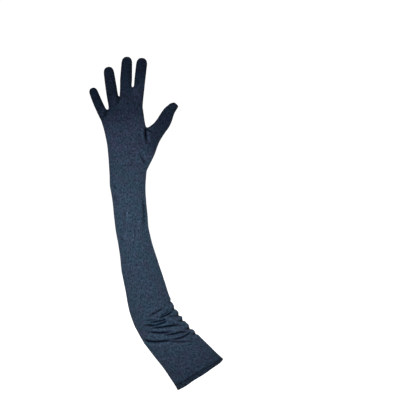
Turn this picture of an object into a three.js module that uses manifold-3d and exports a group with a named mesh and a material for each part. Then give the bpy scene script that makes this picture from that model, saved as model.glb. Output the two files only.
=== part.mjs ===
// A long left-hand dress glove of stretch jersey, in the filled form that it has on an arm.
// A back and a palm panel meet in a seam round the whole outline, and a turned-up hem edges the mouth.
// Each panel is made in eight lengths: sleeve, forearm, hand and its half of the five finger stalls.
// The origin is the centre of the arm opening. +Z runs to the wrist, +X is the thumb side,
// and the back of the hand faces -Y. All sizes are in millimetres.
import * as THREE from 'three';
import { mergeVertices } from 'three/addons/utils/BufferGeometryUtils.js';
import Module from 'manifold-3d';

const wasm = await Module();
wasm.setup();

// Cloth and seams
const WALL = 1.2;
const SEAM_GAP = 0.3;
const HEM_DEPTH = 7;
const HEM_THICKNESS = 2.4;
const HEM_PROUD = 0.3;

// The hem's section, from its outer top edge round the fold at the mouth to its inner top edge.
// height: above the mouth, as a share of the hem's depth. in: towards the arm, as a share of its thickness.
const HEM_SECTION = [
  { height: 1, in: 0 },
  { height: 0.17, in: 0 },
  { height: 0.05, in: 0.15 },
  { height: 0, in: 0.35 },
  { height: 0, in: 0.65 },
  { height: 0.05, in: 0.85 },
  { height: 0.17, in: 1 },
  { height: 1, in: 1 },
];

// How finely the rings of the surface are divided
const SLEEVE_SIDES = 24;
const DIGIT_SIDES = 12;
const RING_STEP = 20;
const FOLD_STEP = 3.6;
const LEAST_STEP = 0.02;

// Cross lines of the sleeve and palm, from the mouth to the knuckles.
// outer: x and z on the little-finger side. inner: x and z on the thumb side.
// back and palm: half depths towards -Y and +Y. square: 2 is an ellipse, more is boxier.
const SLEEVE = [
  { outer: [-42.8, -11.2], inner: [42.6, 9.8], back: 39, palm: 39, square: 2 },
  { outer: [-50.5, 23], inner: [34, 26.5], back: 37, palm: 37, square: 2 },
  { outer: [-58.5, 50], inner: [26.5, 42], back: 36, palm: 36, square: 2 },
  { outer: [-65, 70], inner: [20.5, 54], back: 35.5, palm: 35.5, square: 2 },
  { outer: [-68.5, 84], inner: [15.5, 65], back: 35, palm: 35, square: 2 },
  { outer: [-71.2, 100], inner: [9.8, 77], back: 34.5, palm: 34.5, square: 2 },
  { outer: [-72.7, 114], inner: [1.2, 99], back: 34, palm: 34, square: 2 },
  { outer: [-72.8, 128], inner: [-4.4, 122], back: 33, palm: 33, square: 2 },
  { outer: [-71.2, 143], inner: [-4.8, 139], back: 32, palm: 32, square: 2 },
  { outer: [-67.6, 163], inner: [-4, 158], back: 30.5, palm: 30.5, square: 2 },
  { outer: [-62, 198], inner: [-3.2, 190], back: 28, palm: 28, square: 2 },
  { outer: [-54.7, 229], inner: [-2, 218], back: 25, palm: 25, square: 2 },
  { outer: [-48.8, 261], inner: [1.2, 248], back: 22.5, palm: 22.5, square: 2 },
  { outer: [-43.5, 285], inner: [7, 270], back: 21, palm: 21, square: 2.05 },
  { outer: [-37.7, 308], inner: [12.7, 291], back: 20, palm: 20, square: 2.1 },
  { outer: [-33, 332], inner: [19.6, 313], back: 19, palm: 19.5, square: 2.2 },
  { outer: [-28.2, 350], inner: [28.6, 334.5], back: 17, palm: 18.5, square: 2.3 },
  { outer: [-22.3, 371], inner: [40, 354], back: 15, palm: 17.5, square: 2.4 },
  { outer: [-15.3, 398], inner: [49, 380], back: 13.5, palm: 16, square: 2.5 },
  { outer: [-11.4, 424], inner: [54, 409], back: 12, palm: 14, square: 2.4 },
  { outer: [-10.8, 438], inner: [59, 433], back: 10.4, palm: 12, square: 2.3 },
  { outer: [-3.5, 445], inner: [67, 465], back: 7, palm: 7.6, square: 2.1 },
];

// Folds pushed up inside the bent elbow, from the wrist side to the mouth side.
// at: height of the fold on the thumb side. depth: how deep it is there. width: half its width.
const FOLDS = [
  { at: 128, depth: 1.6, width: 2.6 },
  { at: 119, depth: 1.4, width: 2.2 },
  { at: 111, depth: 2.2, width: 2.4 },
  { at: 102, depth: 2.6, width: 2.4 },
  { at: 93, depth: 2.2, width: 2.4 },
  { at: 85, depth: 1.8, width: 2.2 },
  { at: 76, depth: 3.0, width: 2.6 },
  { at: 65, depth: 3.2, width: 3.0 },
];
// How far the cloth stands out between the folds, how far past them that fades, how sharply the
// folds fade round the arm, and the heights between which the rings lie close together
const FOLD_PUFF = 1.1;
const FOLD_MARGIN = 14;
const FOLD_FADE = 1.3;
const FOLD_ZONE = [58, 132];

// Cross lines of the thumb, from inside the palm to the tip, on the index side and the wrist side.
const THUMB = [
  { outer: [8, 384], inner: [31, 338], back: 13, palm: 17, square: 2.2 },
  { outer: [34, 393], inner: [49.8, 355.2], back: 12.5, palm: 16.5, square: 2.2 },
  { outer: [54.5, 400], inner: [65.5, 370.5], back: 11, palm: 13.5, square: 2.1 },
  { outer: [65.5, 402.5], inner: [77, 381], back: 10, palm: 11, square: 2 },
  { outer: [76, 409], inner: [87.3, 388.9], back: 9.6, palm: 10.2, square: 2 },
  { outer: [84, 415], inner: [95, 397], back: 9.2, palm: 9.6, square: 2 },
  { outer: [93, 420.3], inner: [102.5, 406.8], back: 8, palm: 8.4, square: 2 },
  { outer: [102.5, 424], inner: [109.3, 412.8], back: 6.2, palm: 6.4, square: 2 },
  { outer: [109.5, 423], inner: [112.8, 416], back: 3.6, palm: 3.6, square: 2 },
];

// Fingers, from a root inside the palm through the middle of the length to the tip, as x and z.
// base and end: widths at the web and before the rounded tip. deep: half depth as a share of width.
const FINGERS = [
  { root: [47, 430], middle: [66.2, 469.5], tip: [85.4, 508.6], base: 18.6, end: 17.2, deep: 0.46 },
  { root: [27.2, 430], middle: [45.5, 474.5], tip: [63.8, 518.4], base: 20.6, end: 16.4, deep: 0.46 },
  { root: [12.5, 430], middle: [20.4, 472], tip: [28, 513.6], base: 19, end: 16.6, deep: 0.46 },
  { root: [-0.5, 425], middle: [-5.6, 458], tip: [-7.4, 490.2], base: 15.8, end: 14.4, deep: 0.47 },
];
const FINGER_RINGS = 4;
const FINGER_SQUARE = 2.1;
const TIP_LENGTH = 0.66;
const TIP_ANGLES = [0, 24, 45, 63, 77];

// The relaxed hand: the fingers curl to the palm side, and the thumb stands forward of the palm.
const HAND_TILT = 16;
const KNUCKLE_LINE = [20, 436];
const FINGER_CURL = 9;
const FINGER_REACH = 80;
const THUMB_ROOT = [43, 366];
const THUMB_TILT = 53;
const THUMB_FORWARD = 13;
const THUMB_REACH = 60;
const THUMB_BAND = [15, 32];

// Where the lengths of a panel meet, as x and z: above the elbow's folds, below the wrist, over the
// root of the thumb, and over the webs from the little finger's side to the index finger's side
const JOINS = [
  [[-90, 168], [20, 154]],
  [[-60, 336], [40, 296]],
  [[51, 408], [68, 362.5]],
  [[-22, 441], [4.8, 447.3], [28.4, 459.3], [54.6, 469.6], [80, 456.9]],
];

// A point inside each length of a panel, as x and z
const LENGTHS = {
  sleeve: [-30, 90],
  forearm: [-30, 230],
  hand: [20, 400],
  index: [76, 490],
  middle: [54, 495],
  ring: [24, 490],
  little: [-7, 470],
  thumb: [90, 408],
};

// The seam plane's sheet: its size, and the height of its centre
const SHEET = { width: 400, depth: 120, height: 700, centre: 250 };

const jersey = new THREE.MeshStandardMaterial({ color: 0x2c3a4c, roughness: 0.92, metalness: 0 });
const hemJersey = new THREE.MeshStandardMaterial({ color: 0x263445, roughness: 0.92, metalness: 0 });

const mix = (a, b, t) => a + (b - a) * t;
const radians = THREE.MathUtils.degToRad;
const smooth = (low, high, value) => THREE.MathUtils.smoothstep(value, low, high);

// A row of a table as one list of numbers, so that rows can be blended
const rowValues = (row) => [...row.outer, ...row.inner, row.back, row.palm, row.square];

// A line across the form, as worked out from a table: its two ends, centre, direction and depths
function crossLine([outerX, outerZ, innerX, innerZ, back, palm, square]) {
  const outer = new THREE.Vector2(outerX, outerZ);
  const inner = new THREE.Vector2(innerX, innerZ);
  const centre = outer.clone().add(inner).multiplyScalar(0.5);
  const across = inner.clone().sub(outer);
  const half = across.length() / 2;
  across.normalize();
  return { centre, across, half, back, palm, square, innerZ, fold: 0 };
}

// The cross line at a place between the rows: 2.5 is half way from the third row to the fourth.
// Slopes are taken over the height of the outer end, the second number of a row.
function blendRows(table, place) {
  const last = table.length - 1;
  const index = Math.min(Math.floor(place), last - 1);
  const t = place - index;
  const before = rowValues(table[Math.max(index - 1, 0)]);
  const from = rowValues(table[index]);
  const to = rowValues(table[index + 1]);
  const after = rowValues(table[Math.min(index + 2, last)]);
  const span = to[1] - from[1];
  const spanBefore = from[1] - before[1] || span;
  const spanAfter = after[1] - to[1] || span;
  return crossLine(from.map((value, column) => {
    const slopeIn = slope(value - before[column], spanBefore, to[column] - value, span);
    const slopeOut = slope(to[column] - value, span, after[column] - to[column], spanAfter);
    return hermite(value, to[column], slopeIn * span, slopeOut * span, t);
  }));
}

// The slope of a smooth curve where two spans meet, with no overshoot past a turning point
function slope(riseBefore, spanBefore, riseAfter, spanAfter) {
  const first = riseBefore / spanBefore;
  const second = riseAfter / spanAfter;
  if (first * second <= 0) return 0;
  return (2 * first * second) / (first + second);
}

function hermite(from, to, tangentFrom, tangentTo, t) {
  const t2 = t * t;
  const t3 = t2 * t;
  return from * (2 * t3 - 3 * t2 + 1) + tangentFrom * (t3 - 2 * t2 + t)
    + to * (3 * t2 - 2 * t3) + tangentTo * (t3 - t2);
}

// How far the cloth at a cross line of the sleeve stands out or is drawn in, on the thumb side
function foldHeight(innerZ) {
  const top = FOLDS[0].at;
  const bottom = FOLDS[FOLDS.length - 1].at;
  const rising = smooth(bottom - FOLD_MARGIN, bottom, innerZ);
  const zone = rising * (1 - smooth(top, top + FOLD_MARGIN, innerZ));
  return FOLDS.reduce((height, fold) => {
    const distance = (innerZ - fold.at) / fold.width;
    return height - fold.depth * Math.exp(-distance * distance);
  }, FOLD_PUFF * zone);
}

// Where the cross lines of the sleeve lie: close together in the folds, further apart elsewhere
function sleevePlaces(start) {
  const places = [start];
  SLEEVE.forEach((row, index) => {
    const next = SLEEVE[index + 1];
    if (!next) return;
    const inFolds = next.inner[1] > FOLD_ZONE[0] && row.inner[1] < FOLD_ZONE[1];
    const rise = Math.hypot(next.inner[0] - row.inner[0], next.inner[1] - row.inner[1]);
    const steps = Math.ceil(rise / (inFolds ? FOLD_STEP : RING_STEP));
    for (let step = 1; step <= steps; step += 1) {
      const place = index + step / steps;
      if (place > start + LEAST_STEP) places.push(place);
    }
  });
  return places;
}

// The cross lines of the sleeve from a place near the mouth to the knuckles
function sleeveLines(start) {
  return sleevePlaces(start).map((place) => {
    const line = blendRows(SLEEVE, place);
    line.fold = foldHeight(line.innerZ);
    return line;
  });
}

// The cross lines of a finger, with a rounded tip that ends a little short of its full length
function fingerLines(finger, shorten) {
  const [root, middle, tip] = [finger.root, finger.middle, finger.tip]
    .map(([x, z]) => new THREE.Vector2(x, z));
  const control = middle.clone().multiplyScalar(2).sub(root.clone().add(tip).multiplyScalar(0.5));
  const curve = new THREE.QuadraticBezierCurve(root, control, tip);
  const length = curve.getLength();
  const tipLength = TIP_LENGTH * finger.end;
  const straight = length - tipLength - shorten;
  const lineAt = (distance, scale) => {
    const share = Math.min(distance / length, 1);
    const centre = curve.getPointAt(share);
    const along = curve.getTangentAt(share);
    const half = mix(finger.base, finger.end, share) / 2;
    const deep = finger.deep * 2 * half;
    return {
      centre,
      across: new THREE.Vector2(along.y, -along.x),
      half: half * scale,
      back: deep * scale,
      palm: deep * scale,
      square: FINGER_SQUARE,
      fold: 0,
    };
  };
  const lines = [];
  for (let ring = 0; ring < FINGER_RINGS; ring += 1) {
    lines.push(lineAt((straight * ring) / FINGER_RINGS, 1));
  }
  TIP_ANGLES.map(radians).forEach((angle) => {
    lines.push(lineAt(straight + tipLength * Math.sin(angle), Math.cos(angle)));
  });
  return lines;
}

// The ring of points round a cross line, drawn in by the thickness of the cloth for the inside
function ringPoints(line, inset, sides) {
  return Array.from({ length: sides }, (_, side) => {
    const angle = ((side + 0.5) / sides) * Math.PI * 2;
    const [c, s] = [Math.cos(angle), Math.sin(angle)];
    const depth = s < 0 ? line.back : line.palm;
    const round = (value) => Math.sign(value) * Math.abs(value) ** (2 / line.square);
    const fade = ((1 + c) / 2) ** FOLD_FADE;
    const offset = line.fold * fade - inset;
    const out = (line.half + offset) * round(c);
    return new THREE.Vector3(
      line.centre.x + line.across.x * out,
      (depth + offset) * round(s),
      line.centre.y + line.across.y * out,
    );
  });
}

// A closed solid lofted through rings that all have the same number of points
function loft(rings) {
  const sides = rings[0].length;
  const points = rings.flat();
  const centres = [rings[0], rings[rings.length - 1]].map((ring) => ring
    .reduce((sum, point) => sum.add(point), new THREE.Vector3()).divideScalar(sides));
  points.push(...centres);
  const [startCentre, endCentre] = [points.length - 2, points.length - 1];
  const endRing = (rings.length - 1) * sides;
  const faces = [];
  for (let side = 0; side < sides; side += 1) {
    const next = (side + 1) % sides;
    for (let ring = 0; ring < endRing; ring += sides) {
      faces.push(ring + side, ring + next, ring + sides + next);
      faces.push(ring + side, ring + sides + next, ring + sides + side);
    }
    faces.push(startCentre, next, side, endCentre, endRing + side, endRing + next);
  }
  const geometry = new THREE.BufferGeometry().setFromPoints(points);
  geometry.setIndex(faces);
  return solid(geometry);
}

// A closed ring swept round the sleeve: each section is a closed loop of points
function sweepRound(sections) {
  const count = sections[0].length;
  const faces = [];
  sections.forEach((_, index) => {
    const here = index * count;
    const ahead = ((index + 1) % sections.length) * count;
    for (let point = 0; point < count; point += 1) {
      const next = (point + 1) % count;
      faces.push(here + point, ahead + next, ahead + point);
      faces.push(here + point, here + next, ahead + next);
    }
  });
  const geometry = new THREE.BufferGeometry().setFromPoints(sections.flat());
  geometry.setIndex(faces);
  return solid(geometry);
}

// A closed geometry as a solid that can be joined and cut
function solid(geometry) {
  const bare = geometry.clone();
  bare.deleteAttribute('normal');
  bare.deleteAttribute('uv');
  const merged = mergeVertices(bare);
  return new wasm.Manifold(new wasm.Mesh({
    numProp: 3,
    vertProperties: Float32Array.from(merged.attributes.position.array),
    triVerts: Uint32Array.from(merged.index.array),
  }));
}

// The thumb's cross lines, with the last one drawn back for the inside of the cloth
function thumbLines(shorten) {
  return THUMB.map((row, index) => {
    const line = crossLine(rowValues(row));
    if (index === THUMB.length - 1) {
      line.centre.addScaledVector(new THREE.Vector2(-line.across.y, line.across.x), -shorten);
    }
    return line;
  });
}

// The whole hand and arm as one solid, drawn in on all sides by an inset
function handSolid(inset, sleeveStart) {
  const rings = (lines, sides) => lines.map((line) => ringPoints(line, inset, sides));
  const sleeve = sleeveLines(sleeveStart);
  const lastLine = sleeve[sleeve.length - 1];
  lastLine.centre.addScaledVector(new THREE.Vector2(-lastLine.across.y, lastLine.across.x), -inset);
  const thumb = loft(rings(thumbLines(inset), DIGIT_SIDES));
  const fingers = FINGERS.map((finger) => loft(rings(fingerLines(finger, inset), DIGIT_SIDES)));
  return fingers.reduce((whole, finger) => whole.add(finger),
    loft(rings(sleeve, SLEEVE_SIDES)).add(thumb));
}

// The thin sheet that parts the two panels at the seam plane
function seamSheet() {
  const sheet = new THREE.BoxGeometry(SHEET.width, SEAM_GAP, SHEET.height);
  sheet.translate(0, 0, SHEET.centre);
  return solid(sheet);
}

// Thin sheets that stand on the stretches of a line and part the lengths of a panel
function joinSheets(points) {
  return points.slice(1).map(([x, z], index) => {
    const start = new THREE.Vector2(...points[index]);
    const run = new THREE.Vector2(x, z).sub(start);
    const sheet = new THREE.BoxGeometry(run.length() + SEAM_GAP, SHEET.depth, SEAM_GAP);
    sheet.rotateY(-run.angle());
    sheet.translate(start.x + run.x / 2, 0, start.y + run.y / 2);
    return solid(sheet);
  });
}

// Bends the flat seam plane to the relaxed hand, by moving every point along Y
function pose(geometry) {
  const position = geometry.attributes.position;
  const handAxis = new THREE.Vector2(Math.sin(radians(HAND_TILT)), Math.cos(radians(HAND_TILT)));
  const thumbAxis = new THREE.Vector2(Math.sin(radians(THUMB_TILT)), Math.cos(radians(THUMB_TILT)));
  const thumbSide = new THREE.Vector2(-thumbAxis.y, thumbAxis.x);
  for (let index = 0; index < position.count; index += 1) {
    const point = new THREE.Vector2(position.getX(index), position.getZ(index));
    const fromKnuckles = point.clone().sub(new THREE.Vector2(...KNUCKLE_LINE));
    const fromThumb = point.clone().sub(new THREE.Vector2(...THUMB_ROOT));
    const reach = Math.max(fromKnuckles.dot(handAxis), 0) / FINGER_REACH;
    const band = 1 - smooth(...THUMB_BAND, fromThumb.dot(thumbSide));
    const thumb = smooth(0, THUMB_REACH, fromThumb.dot(thumbAxis)) * band;
    const forward = FINGER_CURL * reach * reach + THUMB_FORWARD * thumb;
    position.setY(index, position.getY(index) + forward);
  }
}

// A named mesh from a solid
function mesh(name, body, material) {
  const { vertProperties, triVerts } = body.getMesh();
  const geometry = new THREE.BufferGeometry();
  geometry.setAttribute('position', new THREE.BufferAttribute(Float32Array.from(vertProperties), 3));
  geometry.setIndex(new THREE.BufferAttribute(Uint32Array.from(triVerts), 1));
  pose(geometry);
  geometry.computeVertexNormals();
  const piece = new THREE.Mesh(geometry, material);
  piece.name = name;
  return piece;
}

// The place on the sleeve's table that lies a given distance from the mouth
function placeAbove(distance) {
  const [first, second] = SLEEVE;
  const rise = (second.outer[1] + second.inner[1] - first.outer[1] - first.inner[1]) / 2;
  return distance / rise;
}

// The hem: the cloth turned in once round the mouth, with a rounded fold at its lower edge
function hemBand() {
  const loops = HEM_SECTION.map((corner) => {
    const line = blendRows(SLEEVE, placeAbove(corner.height * HEM_DEPTH));
    return ringPoints(line, corner.in * HEM_THICKNESS - HEM_PROUD, SLEEVE_SIDES);
  });
  const sections = loops[0].map((_, side) => loops.map((loop) => loop[side]));
  return sweepRound(sections);
}

// The name of a piece of the cut shell: its side, and the length whose inner point it lies round
function pieceName(body) {
  const { min, max } = body.boundingBox();
  const side = min[1] + max[1] < 0 ? 'back' : 'palm';
  const length = Object.keys(LENGTHS).find((name) => {
    const [x, z] = LENGTHS[name];
    return x > min[0] && x < max[0] && z > min[2] && z < max[2];
  });
  return `${side}_${length}`;
}

const outside = handSolid(0, placeAbove(HEM_DEPTH + SEAM_GAP));
const inside = handSolid(WALL, 0);
const sheets = [seamSheet(), ...JOINS.flatMap(joinSheets)];
const shell = sheets.reduce((body, sheet) => body.subtract(sheet), outside.subtract(inside));

const group = new THREE.Group();
shell.decompose().forEach((body) => group.add(mesh(pieceName(body), body, jersey)));
group.add(mesh('hem', hemBand(), hemJersey));

export default group;
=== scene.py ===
import math
from collections import namedtuple

import bmesh
import bpy
import numpy as np
from mathutils import Matrix, Vector, noise


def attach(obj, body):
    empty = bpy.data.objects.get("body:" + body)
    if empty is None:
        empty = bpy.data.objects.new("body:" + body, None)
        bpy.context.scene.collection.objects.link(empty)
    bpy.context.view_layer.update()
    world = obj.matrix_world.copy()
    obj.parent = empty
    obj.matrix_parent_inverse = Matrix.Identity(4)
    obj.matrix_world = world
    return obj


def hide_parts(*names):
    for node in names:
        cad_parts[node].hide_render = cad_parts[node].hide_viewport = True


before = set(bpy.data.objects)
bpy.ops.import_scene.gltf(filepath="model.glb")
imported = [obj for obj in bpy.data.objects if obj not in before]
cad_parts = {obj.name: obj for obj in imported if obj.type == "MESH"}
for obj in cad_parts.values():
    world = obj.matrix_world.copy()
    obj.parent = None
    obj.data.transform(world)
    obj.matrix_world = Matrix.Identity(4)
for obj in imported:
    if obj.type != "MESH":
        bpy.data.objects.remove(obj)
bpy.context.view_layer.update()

# A long left-hand dress glove of heathered stretch jersey, in the filled form that it has on an arm.
# A back and a palm panel are sewn together round the outline, and the mouth is turned up and stitched.
# The tables are in millimetres, and MM turns them into metres where a mesh is made.
MM = 0.001

# Camera: level, facing the back of the hand, and rolled so that the arm leans as in the picture.
# Only its reach is in metres.
VIEW_CENTRE = (94.3, 262.8)
VIEW_WIDTH = 640
VIEW_ROLL = 20
CAMERA_DISTANCE = 3000
SENSOR = 36
VIEW_REACH = 100

# Wall of the cloth. Hem: how far it stands proud, how far and how deep its inner layer laps behind the
# panels, how far the painted shade along its edges reaches, how strong the painted shade in its fold is,
# and the gap between it and the panels.
WALL = 1.0
HEM_DEPTH = 7
HEM_THICKNESS = 2.4
HEM_PROUD = 0.25
HEM_LAP = 2.5
HEM_LAP_INSET = 1.5
HEM_SHADE_REACH = 1.1
HEM_FOLD_SHADE = 0.8
PANEL_GAP = 0.3

# The hem's outer face, from its top edge down: heights as shares of its depth, and how far it is drawn
# in, which is most under the threads. Then the steps round its fold, and the height of the ring that
# shapes its inner face, also as a share.
HEM_FACE = ((1, 0.05), (0.9, 0.02), (0.8, 0.3), (0.7, 0.02), (0.4, -0.1))
HEM_FOLD_STEPS = 8
HEM_INSIDE = 0.5

# Seam: each panel ends at a lip beside the seam line, and turns in there by steps of depth and gap
SEAM_LIP = 0.9
SEAM_TURN = ((0.2, 0.5), (0.6, 0.2), (2.4, 0))

# Threads that show: how far apart they are and the size of each, how deep they are sunk, and how high
# above the mouth the hem's row runs
Thread = namedtuple("Thread", "pitch length width height")
SEAM_THREAD = Thread(2.4, 1.5, 0.42, 0.34)
SEAM_THREAD_SUNK = 0.15
HEM_THREAD = Thread(2.8, 2.1, 0.5, 0.42)
HEM_THREAD_SUNK = 0.2
HEM_THREAD_RISE = 5.5

# Fineness of the meshes: sides of a loft, distance between its rings, steps between the thumb's cross
# lines, points along a finger, and grain of the joined surface. A cut moves points within its snap
# onto it. Less than TINY counts as nothing.
SLEEVE_SIDES = 96
HEM_SIDES = 192
DIGIT_SIDES = 40
RING_STEP = 4
THUMB_STEPS = 5
FINGER_POINTS = 25
GRAIN = 1.65
CUT_SNAP = 0.3
TINY = 1e-6

# Rounds of smoothing where the thumb and fingers have grown together with the hand, and at the creases
JOIN_ROUNDS = 3
CREASE_ROUNDS = 2

Line = namedtuple("Line", "outer_x outer_z inner_x inner_z back palm square")

# Cross lines of the sleeve and palm, from the mouth to the knuckles. outer is the little-finger side,
# inner the thumb side. back and palm are half depths. square: 2 is an ellipse, more is boxier.
SLEEVE = (
    Line(-43.1, -10.3, 42.3, 10.7, 39, 39, 2),
    Line(-50.9, 23, 34.5, 26.5, 37, 37, 2),
    Line(-59.3, 50.1, 27.2, 41.9, 36, 36, 2),
    Line(-65.9, 70.2, 21.4, 53.8, 35.5, 35.5, 2),
    Line(-69.4, 84.2, 16.3, 64.8, 35, 35, 2),
    Line(-72.1, 100.2, 10.6, 76.8, 34.5, 34.5, 2),
    Line(-73.5, 114.2, 2.3, 98.8, 34, 34, 2),
    Line(-73.4, 128.1, -3.4, 121.9, 33, 33, 2),
    Line(-71.8, 143, -4.1, 139, 32, 32, 2),
    Line(-68.2, 163, -3.2, 157.9, 30.5, 30.5, 2),
    Line(-62.7, 198.1, -2.4, 189.9, 28, 28, 2),
    Line(-55.3, 229.1, -1.5, 217.9, 25, 25, 2),
    Line(-49.4, 261.2, 1.8, 247.8, 22.5, 22.5, 2),
    Line(-44.2, 285.2, 7.5, 269.9, 21, 21, 2.05),
    Line(-38.1, 308.1, 13.1, 290.9, 20, 20, 2.1),
    Line(-33.8, 332.3, 20.1, 313.3, 19, 19.5, 2.2),
    Line(-28.2, 350, 29.6, 334.6, 17, 18.5, 2.3),
    Line(-21.9, 370.9, 40.6, 354.1, 15, 17.5, 2.4),
    Line(-15.1, 397.9, 49.9, 379.8, 13.5, 16, 2.5),
    Line(-11.4, 424, 54, 409, 12, 14, 2.4),
    Line(-10.8, 438, 59, 433, 10.4, 12, 2.3),
    Line(-4.3, 445.2, 67.5, 472.5, 7, 7.6, 2.1),
)

# Cross lines of the thumb, from inside the palm to the tip. outer is the index side.
THUMB = (
    Line(8, 384, 31.5, 337, 13, 17, 2.2),
    Line(34, 394, 49.8, 354.6, 12.5, 16.5, 2.2),
    Line(54.3, 400.4, 64.6, 372.1, 11, 13.5, 2.1),
    Line(65, 403.4, 76.6, 381.8, 10, 11, 2),
    Line(75.4, 409.8, 87.4, 389.4, 9.6, 10.2, 2),
    Line(83.4, 416.1, 95.4, 397.4, 9.2, 9.6, 2),
    Line(92.2, 421.8, 103.2, 407, 8, 8.4, 2),
    Line(101.8, 425.6, 110.4, 412.8, 6.4, 6.6, 2),
    Line(109.4, 424.8, 114.2, 416, 3.8, 3.8, 2),
)

Finger = namedtuple("Finger", "name root middle tip base belly end deep web_tone tip_tone")

# Fingers from a root inside the palm to the tip. base, belly and end are widths at the web, half way
# and before the rounded tip. deep is the half depth as a share of the width. The tones are the stretch
# of the cloth.
FINGERS = (
    Finger("index", (48.1, 430), (66.2, 469.5), (85.6, 509.2), 16.9, 17.9, 18.3, 0.46, 0.06, 0.02),
    Finger("middle", (27.1, 430), (44.9, 474.7), (63.2, 519.4), 17.6, 19.6, 17.1, 0.46, 0.15, 0.03),
    Finger("ring", (11.2, 430), (20.4, 472), (28.5, 514.3), 17.6, 18.7, 16.4, 0.46, 0.07, 0.02),
    Finger("little", (-0.5, 425), (-5.5, 458), (-6.7, 491), 16.4, 15, 13.9, 0.47, 0.05, 0),
)

# Where the three widths are along a finger, how square it is, and its rounded tip: its length as a
# share of the end width, how blunt it is, and the spacing and number of its rings
FINGER_PLACES = (0.3, 0.6, 1)
FINGER_SQUARE = 2.1
TIP_LENGTH = 0.6
TIP_BLUNT = 0.86
TIP_EASE = 0.8
TIP_RINGS = 9

# The thumb's base as a share of its length, its tones at base and tip, and the share of the way from
# base to tip over which the tones of the thumb and the fingers change
THUMB_BASE = 0.3
THUMB_TONES = (0.3, 0.1)
THUMB_TONE_REACH = 0.8
FINGER_TONE_REACH = 0.75

# The relaxed hand: the fingers curl to the palm side, and the thumb stands forward of the palm. Tilts
# are angles from upright, and a bend grows over its reach. Over its band, the thumb ends sideways.
HAND_TILT = 16
KNUCKLE_LINE = (20, 436)
FINGER_CURL = 9
FINGER_REACH = 80
THUMB_ROOT = (43, 366)
THUMB_TILT = 53
THUMB_FORWARD = 13
THUMB_REACH = 60
THUMB_BAND = (15, 32)

# Where the cloth passes from the hand to the fingers: a line over the webs, and the blend across it.
# Then the blends from the hand to the thumb, for the way that the yarn runs and for the tone.
WEB_LINE = ((-16, 436), (4.5, 448), (28.4, 460), (55, 470.5), (74, 478))
WEB_BLEND = (-14, 6)
THUMB_BLEND = (6, 30)
THUMB_TONE_BLEND = (-8, 14)

# How far the jersey is stretched at heights above the mouth, which pales it: 0 is relaxed, 1 is taut
Tone = namedtuple("Tone", "rise stretch")
SLEEVE_TONES = (
    Tone(-20, 0.3), Tone(6, 0.34), Tone(9, 0.46), Tone(45, 0.7), Tone(90, 0.76),
    Tone(130, 0.84), Tone(200, 0.93), Tone(255, 1), Tone(315, 0.96), Tone(355, 0.8),
    Tone(395, 0.68), Tone(425, 0.56), Tone(450, 0.24),
)

# Radius that the yarn round the arm is spaced for, and the shift that gives the hem its own stretch
# of yarn
ARM_RADIUS = 30
HEM_SHIFT = 3

# Colours of the yarn, slack and taut, in the jersey and in the thread
RELAXED = (0.006, 0.0112, 0.022, 1)
TAUT = (0.04, 0.068, 0.108, 1)
THREAD_RELAXED = (0.006, 0.011, 0.021, 1)
THREAD_TAUT = (0.037, 0.063, 0.098, 1)
THREAD_STRETCH = 0.35
WHITE = (1, 1, 1, 1)

# Colours that multiply the yarn's: the violet casts of half-stretched cloth and of the hand, which
# comes in over heights above the mouth, the two ends of the slow drift, the flecks, and the painted
# shade of creases and seams
VIOLET_CAST = (1.05, 0.965, 0.98, 1)
HAND_CAST = (1.05, 0.985, 1.05, 1)
HAND_CAST_RISE = (350, 415)
GREENISH = (0.91, 1.03, 1.02, 1)
REDDISH = (1.08, 0.97, 1.02, 1)
FLECK_TINT = (2.3, 2.2, 2.1, 1)
CREASE_SHADE_TINT = (0.03, 0.05, 0.12, 1)
SEAM_SHADE_TINT = (0.3, 0.32, 0.36, 1)

# Unevenness of the yarn: its scale along the arm, its fineness and detail, the noise at which it
# begins and ends, and its values there. A scale under 1 draws it out.
Uneven = namedtuple("Uneven", "along fineness detail begin end first last")
DRIFT = Uneven(1, 62, 2, 0.4, 0.6, 0, 1)
YARN_TONES = (
    Uneven(0.55, 500, 3, 0.26, 0.74, 0.4, 1.6),
    Uneven(0.7, 300, 2, 0.28, 0.72, 0.86, 1.14),
    Uneven(1, 95, 2, 0.3, 0.7, 0.92, 1.08),
)
FLECKS = Uneven(0.5, 1250, 1, 0.62, 0.74, 0, 0.5)

# The knit: distance between its ribs and between the stitches of one, height of a stitch against that
# of a rib, and the heights at which its painted shade begins and ends, with the shades there: under 1
# it is painted shade in the grooves, over 1 a painted highlight on the tops
WALE = 0.8
COURSE = 0.6
STITCH_HEIGHT = 0.35
KNIT_SHADE = (-0.1, 0.9, 0.6, 1.12)

# Finishes, by the shader's own sockets, and the depth and strength of each bump
JERSEY_FINISH = {
    "Roughness": 0.92,
    "Specular IOR Level": 0.05,
    "Sheen Weight": 0.012,
    "Sheen Roughness": 0.5,
    "Sheen Tint": (0.5, 0.65, 0.85, 1),
}
THREAD_FINISH = {"Roughness": 0.8, "Specular IOR Level": 0.2}
FLOOR_FINISH = {"Roughness": 1, "Base Color": (0.95, 0.95, 0.95, 1), "Emission Color": WHITE}
KNIT_BUMP = (0.25, 0.6)
THREAD_BUMP = (0.05, 0.5)
THREAD_FINENESS = 4000

# Stage, in metres: a round floor below the glove, the glow of the floor and of the surround, as its
# strength in their light and what is added where the camera sees them, and the soft lamps
FLOOR_RADIUS = 30
FLOOR_SIDES = 64
FLOOR_HEIGHT = -0.5
FLOOR_GLOW = (0.1, 0.8)
SURROUND_GLOW = (0.42, 0.63)
LAMP_TARGET = (0.02, 0, 0.26)
Lamp = namedtuple("Lamp", "name place power size")
LAMPS = (
    Lamp("key", (-1, -1.8, 1.9), 30, 1.4),
    Lamp("fill", (1.6, -1.5, 0.6), 10, 1.6),
    Lamp("rim", (0.3, 1.8, 1.4), 14, 1.5),
)

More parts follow.
